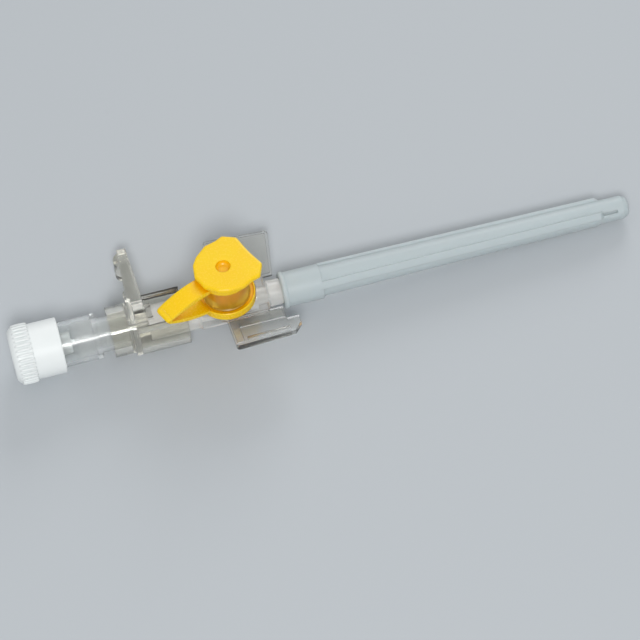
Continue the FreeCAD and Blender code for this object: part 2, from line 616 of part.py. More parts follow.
def makeCapBase():
    body = newBody("cap_base")
    inner = "portRadius + ringFit"
    floor = "seatHeight + ringFloor"
    low = f"{ringTop} - ringLipWall * 0.3"
    turned(body, "Ring", [
        (inner, "seatHeight"), ("ringOuter", "seatHeight"), ("ringOuter", low),
        ("ringOuter - ringLipWall * 0.3", ringTop), ("ringOuter - ringLipWall * 0.7", ringTop),
        ("ringOuter - ringLipWall", low), ("ringOuter - ringLipWall", floor), (inner, floor)],
        axis="V_Axis")
    start = "-(ringOuter - 1.5 * ringLipWall)"
    top = "foldHeight - foldGap"
    extruded(body, "LowerStrap", "XZ_Plane", [
        (start, f"{ringTop} - ringLip * 0.75", {"via": ("-lowerMidReach", "lowerMidHeight")}),
        ("-foldReach", f"{top} - strapThickness / 5"), ("-foldReach", top),
        ("-foldReach + strapThickness / 2", top,
         {"via": ("-lowerMidReach", "lowerMidHeight + strapThickness")}),
        (start, ringTop)], "strapWidth", symmetric=True)
    return body


def makePortCap():
    body = newBody("port_cap")
    tabInner = ("0.84 * tabReach", "0.55 * tabReach")
    tabOuter = ("0.57 * tabReach", "0.83 * tabReach")
    small = {"round": "discCorner"}
    half = [
        (tabInner[0], tabInner[1], small), (tabOuter[0], tabOuter[1], small),
        ("0.35 * tabReach", "0.98 * discHalfWidth", {"round": "2 * discCorner"}),
        ("0.04 * discRadius", "1.03 * discHalfWidth", {"round": "2 * discCorner"}),
        ("-0.45 * discRadius", "0.86 * discHalfWidth", {"round": "2 * discCorner"}),
        ("-0.74 * discRadius", "0.66 * discHalfWidth", {"round": "2 * discCorner"}),
        ("-0.99 * discRadius", "0.25 * discHalfWidth", {"round": "discCorner"})]
    mirrored = [(x, f"-({y})", extra) for x, y, extra in reversed(half)]
    outline = half + mirrored + [("tabMiddle", "0", {"round": "3 * tabReach"})]
    extruded(body, "Disc", "XY_Plane", outline, "discThickness", lift=discBottom)
    softenEdge(body, "Fillet", "TopRounding", "discEdge", "capTop")
    softenEdge(body, "Chamfer", "UndersideChamfer", "discUnderside", discBottom)
    turned(body, "Dimple", [
        ("0", "capTop - dimpleDepth"),
        ("0.6 * dimpleRadius", "capTop - dimpleDepth",
         {"via": ("0.86 * dimpleRadius", "capTop - 0.7 * dimpleDepth")}),
        ("dimpleRadius", "capTop"), ("0", "capTop")], axis="V_Axis", cutting=True)
    turned(body, "Skirt", box("skirtInner", "skirtInner + skirtWall", f"{discBottom} - skirtDepth",
                              f"{discBottom} + discEdge"), axis="V_Axis")
    turned(body, "Plug", [
        ("0", f"{discBottom} - plugLength"), ("plugTipRadius", f"{discBottom} - plugLength"),
        ("plugRadius", discBottom), ("plugRadius", f"{discBottom} + discEdge"),
        ("0", f"{discBottom} + discEdge")], axis="V_Axis")
    start = "-(skirtInner + skirtWall / 4)"
    low = f"{discBottom} - skirtDepth"
    bottom = "foldHeight + foldGap"
    middle = "-(skirtInner + foldReach) / 2"
    extruded(body, "UpperStrap", "XZ_Plane", [
        (start, low, {"via": (middle, "upperMidHeight")}),
        ("-foldReach + strapThickness / 2", bottom), ("-foldReach", bottom),
        ("-foldReach + strapThickness / 4", f"{bottom} + strapThickness / 4",
         {"via": (middle, "upperMidHeight + strapThickness")}),
        (start, f"{low} + strapThickness")], "strapWidth", symmetric=True)
    return body


def softenEdge(body, kind, name, size, height):
    """Rounds or chamfers the edges that lie flat at one height."""
    doc.recompute()
    level = valueOf(height)
    names = [f"Edge{number}" for number, edge in enumerate(body.Shape.Edges, start=1)
             if abs(edge.BoundBox.ZMin - level) < 1e-4 and abs(edge.BoundBox.ZMax - level) < 1e-4]
    solid = body.Tip
    softened = body.newObject(f"PartDesign::{kind}", name)
    softened.Base = (solid, names)
    field = "Radius" if kind == "Fillet" else "Size"
    setattr(softened, field, valueOf(size))
    softened.setExpression(field, bound(size))
    doc.recompute()


def makeNeedleCover():
    body = newBody("needle_cover")
    boreRear = "noseRadius + coverFit"
    boreFloor = f"{coverTip} - coverEnd"
    rimFront = f"{coverMouth} + coverRimLength"
    rimSide = "coverRimLength / 4"
    turned(body, "CoverWall", [
        (coverMouth, boreRear), (coverMouth, f"coverRimRadius - {rimSide}"),
        (f"{coverMouth} + {rimSide}", "coverRimRadius"), (f"{rimFront} - {rimSide}", "coverRimRadius"),
        (rimFront, "coverSocketRadius"), (coverSocketEnd, "coverSocketRadius"),
        (coverSocketEnd, "coverCoreRear"), (f"{coverTip} - 1.4 * coverRound", "coverCoreFront"),
        (f"{coverTip} - coverRound / 3", "coverCoreFront - coverRound / 2"), (coverTip, "coverCoreFront - coverRound"),
        (coverTip, "0"), (boreFloor, "0"), (boreFloor, "coverCoreFront - coverWall"),
        (f"{coverSocketEnd} + coverWall", "coverCoreRear - coverWall"),
        ("noseTip + coverWall", "noseTipRadius + coverFit"), ("noseTip", "noseTipRadius + coverFit")])
    ribFoot = "(coverWall / 2)"
    rib = extruded(body, "CoverRib", "XZ_Plane", [
        (f"{coverSocketEnd} - coverWall / 2", f"coverCoreRear - {ribFoot}"),
        (coverRibEnd, f"coverCoreFront - {ribFoot}"), (coverRibEnd, "coverCoreFront"),
        (f"{coverRibEnd} - coverRibSlope", "coverRibFront"),
        (f"{coverSocketEnd} - coverWall / 2", "coverRibRear")], "coverRibWidth", symmetric=True,
        tilt="coverRibAngle - 90")
    repeated(body, rib, "coverRibCount")
    slotRear = f"{coverRibEnd} + slotGap"
    slot = extruded(body, "TipSlot", "XZ_Plane",
                    box(slotRear, f"{slotRear} + slotLength", "coverCoreFront - slotDepth", "coverRibFront"),
                    "slotWidth", cutting=True, symmetric=True, tilt="coverRibAngle - 90")
    repeated(body, slot, "coverRibCount")
    return body


parts = [
    makeCannulaHub(), makeValveSleeve(), makeCatheterBush(), makeCatheter(),
    makeNeedleHub(), makeNeedle(), makeFlashChamber(), makeLuerPlug(), makeVentFilter(),
    makeNeedleCover(), makeCapBase(), makePortCap()]

# The cradle's front edge and the cover's ribs carry the part along its length, and the thumb
# plate's lower corner stops it from rolling. The angles follow from those three contacts.
pitch = math.atan2(valueOf("cradleRadius - coverRibFront"), valueOf(f"{coverRibEnd} - {cradleFront}"))
finMiddle = valueOf(f"{webRear} + finRear + finThickness / 2")
axisHeight = valueOf("cradleRadius") + (valueOf(cradleFront) - finMiddle) * math.tan(pitch)
arm = valueOf("finReach - finCorner")
sole = valueOf("finHalfWidth - finCorner")
roll = math.asin((axisHeight - valueOf("finCorner")) / math.hypot(arm, sole)) - math.atan2(sole, arm)
laid = Rotation(Vector(0, 1, 0), math.degrees(pitch)) * Rotation(Vector(1, 0, 0), -math.degrees(roll))
strapTurned = FreeCAD.Placement(Vector(0, 0, 0), Rotation(Vector(0, 0, 1), valueOf("strapTurn")))
ownPlace = {body.Label: strapTurned for body in parts if body.Label in ("cap_base", "port_cap")}

lying = FreeCAD.Placement(Vector(0, 0, 0), laid)
bounds = FreeCAD.BoundBox()
for body in parts:
    body.Placement = lying * ownPlace.get(body.Label, FreeCAD.Placement())
    bounds.add(body.Shape.optimalBoundingBox(False, False))
rest = FreeCAD.Placement(Vector(-bounds.Center.x, -bounds.Center.y, -bounds.ZMin), laid)
for body in parts:
    body.Placement = rest * ownPlace.get(body.Label, FreeCAD.Placement())
doc.recompute()

for item in doc.Objects:
    if "Invalid" in item.State or "Error" in item.State:
        raise RuntimeError(f"{item.Name} did not recompute: {item.State}")
for body in parts:
    if body.Shape.isNull() or not body.Shape.isValid() or len(body.Shape.Solids) != 1:
        raise RuntimeError(f"{body.Label} is not one valid solid")

os.makedirs("parts", exist_ok=True)
for body in parts:
    body.Shape.exportStep(f"parts/{body.Label}.step")
    print(f"{body.Label}: {body.Shape.Volume:.1f} mm3")
origin = rest.multVec(Vector(0, 0, 0))
print(f"pitch {math.degrees(pitch):.3f} roll {math.degrees(roll):.3f}")
print(f"cannula's own origin at {origin.x:.4f} {origin.y:.4f} {origin.z:.4f}")
print(f"size {bounds.XLength:.2f} {bounds.YLength:.2f} {bounds.ZLength:.2f}")
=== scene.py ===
import math

import bmesh
import bpy
from mathutils import Matrix, Vector


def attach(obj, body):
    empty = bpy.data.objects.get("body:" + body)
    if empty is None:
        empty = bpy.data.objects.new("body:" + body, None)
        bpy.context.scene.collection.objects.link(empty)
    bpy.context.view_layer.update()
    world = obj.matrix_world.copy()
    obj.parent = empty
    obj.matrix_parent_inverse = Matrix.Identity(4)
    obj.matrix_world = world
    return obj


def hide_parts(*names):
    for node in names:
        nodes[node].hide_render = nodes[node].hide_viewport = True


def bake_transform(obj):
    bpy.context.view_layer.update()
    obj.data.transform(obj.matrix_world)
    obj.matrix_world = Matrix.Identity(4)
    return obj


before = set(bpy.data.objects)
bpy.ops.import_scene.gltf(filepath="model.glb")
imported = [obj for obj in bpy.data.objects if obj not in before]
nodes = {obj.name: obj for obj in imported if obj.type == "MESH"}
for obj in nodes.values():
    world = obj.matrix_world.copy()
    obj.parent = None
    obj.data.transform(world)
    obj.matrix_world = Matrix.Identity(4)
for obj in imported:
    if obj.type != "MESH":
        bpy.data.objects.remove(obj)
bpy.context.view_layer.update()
print("frame loaded:", ", ".join(sorted(nodes)))

millimetre = 0.001
portFoot = Vector((-0.0176924, -0.002326, 0.0050557))  # metres, where the axes of port and cannula meet


# An sRGB hex colour as the linear numbers that sockets take
def hexToLinear(code):
    channels = [int(code[i:i + 2], 16) / 255 for i in (1, 3, 5)]
    return [c / 12.92 if c <= 0.04045 else ((c + 0.055) / 1.055) ** 2.4 for c in channels] + [1.0]


# Settings are a node's sockets or properties, and links are what feeds its sockets. A number is a socket's
# place, for nodes whose sockets share one name.
def addNode(tree, kind, settings=None, links=None):
    node = tree.nodes.new(kind)
    for name, value in (settings or {}).items():
        if isinstance(name, int) or name in node.inputs:
            node.inputs[name].default_value = value
        else:
            setattr(node, name, value)
    for name, source in (links or {}).items():
        tree.links.new(source, node.inputs[name])
    return node


def startMaterial(name):
    material = bpy.data.materials.new(name)
    material.use_nodes = True
    tree = material.node_tree
    tree.nodes.clear()
    place = addNode(tree, "ShaderNodeTexCoord").outputs["Object"]
    return material, tree, place


def finishMaterial(tree, settings, links):
    shader = addNode(tree, "ShaderNodeBsdfPrincipled", settings, links)
    addNode(tree, "ShaderNodeOutputMaterial", None, {"Surface": shader.outputs["BSDF"]})


# Camera at the photograph's angle, its place worked out from the part's own lengths in the picture
cameraValues = {
    "place": (-0.030076, -0.25744, 0.503596),  # metres from the foot of the port, as the next line
    "aim": (0.0151, -0.00789, -0.00002),
    "roll": 5.53,  # degrees
    "pixelFocal": 3134.2,  # focal length in the picture's pixels
    "frame": 640,  # the picture's width in pixels
    "sensor": 36,  # millimetres
    "nearest": 0.01,  # metres
}


def makeCamera(values):
    data = bpy.data.cameras.new("photoCamera")
    data.sensor_fit = "HORIZONTAL"
    data.sensor_width = values["sensor"]
    data.lens = values["pixelFocal"] / values["frame"] * data.sensor_width
    data.clip_start = values["nearest"]
    camera = bpy.data.objects.new("photoCamera", data)
    bpy.context.scene.collection.objects.link(camera)
    place = portFoot + Vector(values["place"])
    aim = Vector(values["aim"]) - Vector(values["place"])
    roll = Matrix.Rotation(math.radians(-values["roll"]), 3, "Z")
    turn = aim.to_track_quat("-Z", "Y").to_matrix() @ roll
    camera.matrix_world = Matrix.Translation(place) @ turn.to_4x4()
    bpy.context.scene.camera = camera


makeCamera(cameraValues)
print("camera placed")

# Plain pale card under soft lamps, in a pale room
studioValues = {
    "floorColour": "#B8BDC1",
    "floorSize": 6.0,  # metres
    "cardRoughness": 0.6,
    "cardGrain": 1.1,  # millimetres, coarser than real card, so that it can show
    "cardDetail": 3.0,
    "cardDepth": 0.2,  # millimetres
    "cardBump": 0.02,  # how much of that depth shows
    "worldColour": "#E4E6E8",
    "worldStrength": 0.6,  # what lights the part
    "backdropStrength": 1.0,  # what the camera and clear pieces see
    "lamps": [  # name, place and aim in metres, size in metres, power in watts
        ("keyLamp", (-0.1, -0.55, 0.78), (0, 0, 0), 0.3, 4.9),
        ("rimLamp", (0.35, 0.75, 0.45), (0, 0, 0), 0.5, 2.6),
    ],
}


def makeFloor(values):
    mesh = bpy.data.meshes.new("floor")
    half = values["floorSize"] / 2
    corners = [(-half, -half, 0), (half, -half, 0), (half, half, 0), (-half, half, 0)]
    mesh.from_pydata(corners, [], [(0, 1, 2, 3)])
    floor = bpy.data.objects.new("floor", mesh)
    bpy.context.scene.collection.objects.link(floor)
    material, tree, place = startMaterial("paleCard")
    grain = addNode(tree, "ShaderNodeTexNoise",
                    {"Scale": 1 / (values["cardGrain"] * millimetre), "Detail": values["cardDetail"]},
                    {"Vector": place})
    bump = addNode(tree, "ShaderNodeBump",
                   {"Strength": values["cardBump"], "Distance": values["cardDepth"] * millimetre},
                   {"Height": grain.outputs["Fac"]})
    finishMaterial(tree,
                   {"Base Color": hexToLinear(values["floorColour"]), "Roughness": values["cardRoughness"]},
                   {"Normal": bump.outputs["Normal"]})
    mesh.materials.append(material)


def makeLamps(values):
    for name, place, aim, size, power in values["lamps"]:
        data = bpy.data.lights.new(name, "AREA")
        data.shape = "DISK"
        data.size = size
        data.energy = power
        lamp = bpy.data.objects.new(name, data)
        bpy.context.scene.collection.objects.link(lamp)
        turn = (Vector(aim) - Vector(place)).to_track_quat("-Z", "Y").to_matrix()
        lamp.matrix_world = Matrix.Translation(place) @ turn.to_4x4()


def makeWorld(values):
    world = bpy.data.worlds.new("studio")
    bpy.context.scene.world = world
    world.use_nodes = True
    tree = world.node_tree
    tree.nodes.clear()
    path = addNode(tree, "ShaderNodeLightPath").outputs
    seen = addNode(tree, "ShaderNodeMath", {"operation": "MAXIMUM"},
                   {0: path["Is Camera Ray"], 1: path["Is Transmission Ray"]})
    colour = hexToLinear(values["worldColour"])
    lit = addNode(tree, "ShaderNodeBackground", {"Color": colour, "Strength": values["worldStrength"]})
    shown = addNode(tree, "ShaderNodeBackground", {"Color": colour, "Strength": values["backdropStrength"]})
    mix = addNode(tree, "ShaderNodeMixShader", None,
                  {0: seen.outputs[0], 1: lit.outputs[0], 2: shown.outputs[0]})
    addNode(tree, "ShaderNodeOutputWorld", None, {"Surface": mix.outputs[0]})


makeFloor(studioValues)
makeLamps(studioValues)
makeWorld(studioValues)
bpy.context.scene.view_settings.view_transform = "Standard"
print("studio made")

# How the part lies: its own frame has X along the cannula and Z up the port, in millimetres. The turns are
# in degrees.
layValues = {"pitch": 1.831, "roll": -9.892, "strapTurn": 23.0}
laid = (Matrix.Translation(portFoot) @ Matrix.Rotation(math.radians(layValues["pitch"]), 4, "Y")
        @ Matrix.Rotation(math.radians(layValues["roll"]), 4, "X") @ Matrix.Scale(millimetre, 4))
laidStrap = laid @ Matrix.Rotation(math.radians(layValues["strapTurn"]), 4, "Z")

# Sizes in every material are millimetres. "edge" is the small round of an edge, because edges of moulded
# plastic are never sharp. "grain" and "depth" are the pattern that the mould leaves in the skin. A skin says
# how much of that depth shows as a bump, and between which multiples of its value the roughness varies.
edgeSamples = 4


# A moulded skin: its grain as a bump, its round edges, and a roughness that varies with the grain
def mouldedSkin(tree, place, values, skin):
    grain = addNode(tree, "ShaderNodeTexNoise",
                    {"Scale": 1 / (values["grain"] * millimetre), "Detail": skin["detail"]},
                    {"Vector": place})
    edge = addNode(tree, "ShaderNodeBevel",
                   {"samples": edgeSamples, "Radius": values["edge"] * millimetre})
    bump = addNode(tree, "ShaderNodeBump",
                   {"Strength": skin["bump"], "Distance": values["depth"] * millimetre},
                   {"Height": grain.outputs["Fac"], "Normal": edge.outputs["Normal"]})
    smoothest, roughest = skin["spread"]
    spread = addNode(tree, "ShaderNodeMapRange",
                     {"To Min": values["roughness"] * smoothest, "To Max": values["roughness"] * roughest},
                     {"Value": grain.outputs["Fac"]})
    return bump.outputs["Normal"], spread.outputs["Result"]


# "cloud" gives two distances from the port along the cannula: the plastic is clear at the first and milky at
# the second. "cloudRadius" gives two from the cannula's axis: it stays milky as far as the first, and from
# the second on it is clear. "clear" and "milky" are the shares of light that go through.
clearSkin = {"detail": 2.0, "bump": 0.3, "spread": (0.6, 1.5)}
hubValues = {
    "colour": "#FBFBF8", "clear": 0.97, "milky": 0.55, "cloud": (2.0, 3.8), "cloudRadius": (3.1, 3.9),
    "ior": 1.49, "roughness": 0.08, "edge": 0.16, "grain": 3.5, "depth": 0.012,
    # painted amber light on the port's wall, for the light that the cap's plug and ring throw into it: it
    # fades in between two heights and out between two radii
    "paintedAmberLight": "#FFC62A", "paintedAmberRoughness": 0.3, "paintedAmberClear": 0.72, "paintedAmberHeight": (2.2, 3.0),
    "paintedAmberRadius": (4.3, 4.7),
}
gripValues = {
    "colour": "#FAF8EF", "clear": 0.97, "milky": 0.82, "cloud": (20.0, 17.0), "cloudRadius": (3.2, 4.2),
    "ior": 1.585, "roughness": 0.06, "edge": 0.22, "grain": 4.0, "depth": 0.014,
}
chamberValues = {
    "colour": "#FAFCFB", "clear": 0.97, "milky": 0.88, "cloud": (29.0, 27.5),
    "cloudRadius": (20.0, 30.0),  # wider than the chamber, so the whole section is milky
    "ior": 1.49, "roughness": 0.11, "edge": 0.12, "grain": 5.0, "depth": 0.01,
}


# Distance from one of the part's own axes: the weight along that axis is 0, and the others are 1
def reachFrom(tree, own, weights):
    flat = addNode(tree, "ShaderNodeVectorMath", {"operation": "MULTIPLY", 1: weights}, {0: own})
    length = addNode(tree, "ShaderNodeVectorMath", {"operation": "LENGTH"}, {0: flat.outputs[0]})
    return length.outputs["Value"]


# Painted light: the amber light that the cap's plug and ring throw into the port's clear wall is painted
# into its colour, and the wall is made cloudier and rougher there, with no line where plug and ring end
def paintPortAmberLight(tree, own, height, values, clear, roughness):
    wall = addNode(tree, "ShaderNodeMapRange", {
        "From Min": values["paintedAmberRadius"][0], "From Max": values["paintedAmberRadius"][1],
        "To Min": 1.0, "To Max": 0.0}, {"Value": reachFrom(tree, own, (1, 1, 0))})
    paintedAmberLight = addNode(tree, "ShaderNodeMapRange", {
        "From Min": values["paintedAmberHeight"][0], "From Max": values["paintedAmberHeight"][1], "To Min": 0.0},
        {"Value": height, "To Max": wall.outputs["Result"]}).outputs["Result"]
    tint = addNode(tree, "ShaderNodeMixRGB", {
        "Color1": hexToLinear(values["colour"]), "Color2": hexToLinear(values["paintedAmberLight"])}, {"Fac": paintedAmberLight})
    through = addNode(tree, "ShaderNodeMapRange", {"To Max": values["paintedAmberClear"]},
                      {"Value": paintedAmberLight, "To Min": clear})
    blur = addNode(tree, "ShaderNodeMapRange", {"To Max": values["paintedAmberRoughness"]},
                   {"Value": paintedAmberLight, "To Min": roughness})
    return tint.outputs["Color"], through.outputs["Result"], blur.outputs["Result"]


# Clear polypropylene and polycarbonate, injection moulded: a polished mould leaves a glassy skin with
# flow waves a few millimetres long, and the plastic itself is a little cloudy, so the thick parts look
# milky. Where they are is set by the distances above.
def clearMoulding(name, values):
    material, tree, place = startMaterial(name)
    normal, roughness = mouldedSkin(tree, place, values, clearSkin)
    own = addNode(tree, "ShaderNodeMapping", {  # the part's own frame, in millimetres
        "vector_type": "TEXTURE", "Location": portFoot, "Rotation": laid.to_euler(),
        "Scale": [millimetre] * 3}, {"Vector": place}).outputs["Vector"]
    along = addNode(tree, "ShaderNodeSeparateXYZ", None, {"Vector": own})
    thick = addNode(tree, "ShaderNodeMapRange", {
        "From Min": values["cloudRadius"][0], "From Max": values["cloudRadius"][1],
        "To Min": values["milky"], "To Max": values["clear"]}, {"Value": reachFrom(tree, own, (0, 1, 1))})
    away = addNode(tree, "ShaderNodeMath", {"operation": "ABSOLUTE"}, {0: along.outputs["X"]})
    cloud = addNode(tree, "ShaderNodeMapRange", {
        "From Min": values["cloud"][0], "From Max": values["cloud"][1], "To Min": values["clear"]},
        {"Value": away.outputs["Value"], "To Max": thick.outputs["Result"]}).outputs["Result"]
    settings = {"Base Color": hexToLinear(values["colour"]), "IOR": values["ior"]}
    links = {"Normal": normal, "Transmission Weight": cloud, "Roughness": roughness}
    # the hub's port gets painted amber light, for the light that the cap's plug and ring throw into it
    if "paintedAmberLight" in values:
        tint, through, blur = paintPortAmberLight(tree, own, along.outputs["Z"], values, cloud, roughness)
        links.update({"Base Color": tint, "Transmission Weight": through, "Roughness": blur})
    finishMaterial(tree, settings, links)
    return material


# "shade" is the second colour that the pigment drifts to. The third colour is painted shade: a deeper colour
# painted into pits and corners, where light bounces about, as far as the reach that follows it. "radius" is
# how far light goes in.
yellowValues = {
    "colour": "#FFD806", "shade": "#FDC806", "hollow": "#EFB000", "hollowReach": 2.2, "roughness": 0.26,
    "grain": 0.38, "depth": 0.01, "edge": 0.18, "subsurface": 0.3, "radius": 0.6,
}
# The cap's own yellow, a little deeper, for the cap's plug and the ring's bore: partly the deeper look of
# thick pigment seen through the clear wall, partly painted shade from the disc above the port
deeperAmberValues = {
    "colour": "#FFD010", "shade": "#FBC208", "hollow": "#F0A800", "hollowReach": 0.5, "roughness": 0.36,
    "grain": 0.38, "depth": 0.01, "edge": 0.1, "subsurface": 0.3, "radius": 0.6,
}
whiteValues = {
    "colour": "#F2F5F4", "shade": "#E9EEED", "hollow": "#E2E8E7", "hollowReach": 1.0, "roughness": 0.4,
    "grain": 0.45, "depth": 0.012, "edge": 0.12, "subsurface": 0.3, "radius": 1.0,
}
filterValues = {
    "colour": "#F2F1EC", "shade": "#D9D7D0", "hollow": "#C4C2BA", "hollowReach": 0.5, "roughness": 0.85,
    "grain": 0.25, "depth": 0.06, "edge": 0.05, "subsurface": 0.1, "radius": 0.5,
}
siliconeValues = {
    "colour": "#DCDCD6", "shade": "#CFCFC8", "hollow": "#C2C2BC", "hollowReach": 0.5, "roughness": 0.45,
    "grain": 0.67, "depth": 0.01, "edge": 0.08, "subsurface": 0.3, "radius": 0.8,
}
stripeValues = {
    "colour": "#D7DCE0", "shade": "#C4CCD2", "hollow": "#B8C0C6", "hollowReach": 0.2, "roughness": 0.35,
    "grain": 0.67, "depth": 0.002, "edge": 0.02, "subsurface": 0.1, "radius": 0.2,
}
pigmentedSkin = {"detail": 3.0, "bump": 0.5, "spread": (0.8, 1.25)}
pigmentValues = {
    "ior": 1.5,
    "drift": 8.3,  # over this length the pigment's shade drifts
    "driftDetail": 2.0,
    # the last three set the painted shade of pits and corners: the samples that look for them, and the
    # shares of open sky between which it goes from full to none
    "hollowSamples": 8,
    "deep": 0.5,  # a place that sees this share of the sky has the hollow colour
    "open": 0.95,  # and from this share on, it has none of it
}


# Pigmented polyethylene, injection moulded: a satin skin from the mould's fine spark grain, a shade that
# drifts with the flow, light that goes a little way in, and painted shade in pits and corners. The real
# grain is about 0.05 mm, too fine to show, so it is drawn several times as coarse. The filter and the
# silicone share its make-up.
def pigmentedMoulding(name, values):
    material, tree, place = startMaterial(name)
    normal, roughness = mouldedSkin(tree, place, values, pigmentedSkin)
    drift = addNode(tree, "ShaderNodeTexNoise", {
        "Scale": 1 / (pigmentValues["drift"] * millimetre), "Detail": pigmentValues["driftDetail"]},
        {"Vector": place})
    tone = addNode(tree, "ShaderNodeMixRGB", {
        "Color1": hexToLinear(values["colour"]), "Color2": hexToLinear(values["shade"])},
        {"Fac": drift.outputs["Fac"]})
    # painted shade: the deeper hollow colour is painted into pits and corners, where the sky is hidden
    sky = addNode(tree, "ShaderNodeAmbientOcclusion", {
        "samples": pigmentValues["hollowSamples"], "Distance": values["hollowReach"] * millimetre})
    hollow = addNode(tree, "ShaderNodeMapRange", {
        "From Min": pigmentValues["deep"], "From Max": pigmentValues["open"], "To Min": 1.0, "To Max": 0.0},
        {"Value": sky.outputs["AO"]})
    colour = addNode(tree, "ShaderNodeMixRGB", {"Color2": hexToLinear(values["hollow"])},
                     {"Fac": hollow.outputs["Result"], "Color1": tone.outputs["Color"]})
    finishMaterial(tree, {
        "Subsurface Weight": values["subsurface"], "Subsurface Scale": 1.0, "IOR": pigmentValues["ior"],
        "Subsurface Radius": [values["radius"] * millimetre] * 3},
        {"Base Color": colour.outputs["Color"], "Roughness": roughness, "Normal": normal})
    return material


milkySkin = {"detail": 3.0, "bump": 0.4, "spread": (0.8, 1.2)}
coverValues = {
    "colour": "#D6E0E2", "transmission": 0.35, "ior": 1.5, "roughness": 0.45,
    "edge": 0.2, "grain": 1.1, "depth": 0.01, "subsurface": 0.6, "radius": 1.2,
}
catheterValues = {
    "colour": "#EDEEEA", "transmission": 0.35, "ior": 1.36, "roughness": 0.3,
    "edge": 0.03, "grain": 0.67, "depth": 0.003, "subsurface": 0.3, "radius": 0.3,
}


# Natural low density polyethylene, and the catheter's fluoropolymer: milky, lets light in and shows only a
# blur of what is inside
def milkyMoulding(name, values):
    material, tree, place = startMaterial(name)
    normal, roughness = mouldedSkin(tree, place, values, milkySkin)
    finishMaterial(tree, {
        "Base Color": hexToLinear(values["colour"]), "Transmission Weight": values["transmission"],
        "IOR": values["ior"], "Subsurface Weight": values["subsurface"],
        "Subsurface Radius": [values["radius"] * millimetre] * 3, "Subsurface Scale": 1.0},
        {"Roughness": roughness, "Normal": normal})
    return material


steelValues = {
    "colour": "#C4C7C9", "roughness": 0.22, "spread": (0.7, 1.4),
    "scratch": 0.33,  # between drawing lines, really some hundredths, drawn as coarse as they need to show
    "scratchDetail": 2.0,
    "scratchStretch": 50,  # times as long as wide
}


# Stainless steel, drawn through a die: bright, with fine lines along its length
def drawnSteel(name, values):
    material, tree, place = startMaterial(name)
    stretch = addNode(tree, "ShaderNodeMapping", {"Scale": (1 / values["scratchStretch"], 1.0, 1.0)},
                      {"Vector": place})
    scratch = addNode(tree, "ShaderNodeTexNoise", {
        "Scale": 1 / (values["scratch"] * millimetre), "Detail": values["scratchDetail"]},
        {"Vector": stretch.outputs["Vector"]})
    smoothest, roughest = values["spread"]
    spread = addNode(tree, "ShaderNodeMapRange",
                     {"To Min": values["roughness"] * smoothest, "To Max": values["roughness"] * roughest},
                     {"Value": scratch.outputs["Fac"]})
    finishMaterial(tree, {"Base Color": hexToLinear(values["colour"]), "Metallic": 1.0},
                   {"Roughness": spread.outputs["Result"]})
    return material


finishes = {
    "cannula_hub": clearMoulding("clearPolypropyleneHub", hubValues),
    "needle_hub": clearMoulding("clearPolycarbonateGrip", gripValues),
    "flash_chamber": clearMoulding("clearPolypropyleneChamber", chamberValues),
    "luer_plug": pigmentedMoulding("whitePolyethylenePlug", whiteValues),
    "port_cap": pigmentedMoulding("yellowPolyethyleneCap", yellowValues),
    "vent_filter": pigmentedMoulding("sinteredPorousFilter", filterValues),
    "valve_sleeve": pigmentedMoulding("mouldedSiliconeValve", siliconeValues),
    "needle_cover": milkyMoulding("milkyPolyethyleneCover", coverValues),
    "needle": drawnSteel("drawnSteelNeedle", steelValues),
    "catheter_bush": drawnSteel("turnedSteelBush", steelValues),
    "catheter": milkyMoulding("extrudedCatheterTube", catheterValues),
}
finishes["cap_base"] = finishes["port_cap"]
stripeFinish = pigmentedMoulding("radiopaqueStripe", stripeValues)
# the cap's yellow, painted deeper for the shade under the disc as well as for the thick pigment
deeperAmberFinish = pigmentedMoulding("yellowPolyethyleneCapPlug", deeperAmberValues)

for name, material in finishes.items():
    for slot in nodes[name].material_slots:
        slot.material = material
print("finishes set")


# A finished piece: its place is in its mesh, and its object stays at the origin
def placePiece(name, mesh, matrix, material):
    mesh.transform(matrix)
    mesh.materials.clear()
    mesh.materials.append(material)
    piece = bpy.data.objects.new(name, mesh)
    bpy.context.scene.collection.objects.link(piece)
    return piece


turnValues = {
    "roundSteps": 4,  # parts of a rounded corner
    "onAxis": 1e-6,  # a smaller radius counts as on the axis
}


# Corners are (place along the axis, radius, rounding), and a rounding of 0 is a sharp corner
def softenProfile(corners):
    line = []
    count = len(corners)
    for i, (x, r, rounding) in enumerate(corners):
        here = Vector((x, r))
        if rounding == 0:
            line.append(here)
            continue
        back = Vector(corners[i - 1][:2]) - here
        ahead = Vector(corners[(i + 1) % count][:2]) - here
        start = here + back.normalized() * rounding
        end = here + ahead.normalized() * rounding
        for step in range(turnValues["roundSteps"] + 1):
            f = step / turnValues["roundSteps"]
            line.append((1 - f) ** 2 * start + 2 * f * (1 - f) * here + f ** 2 * end)
    return line


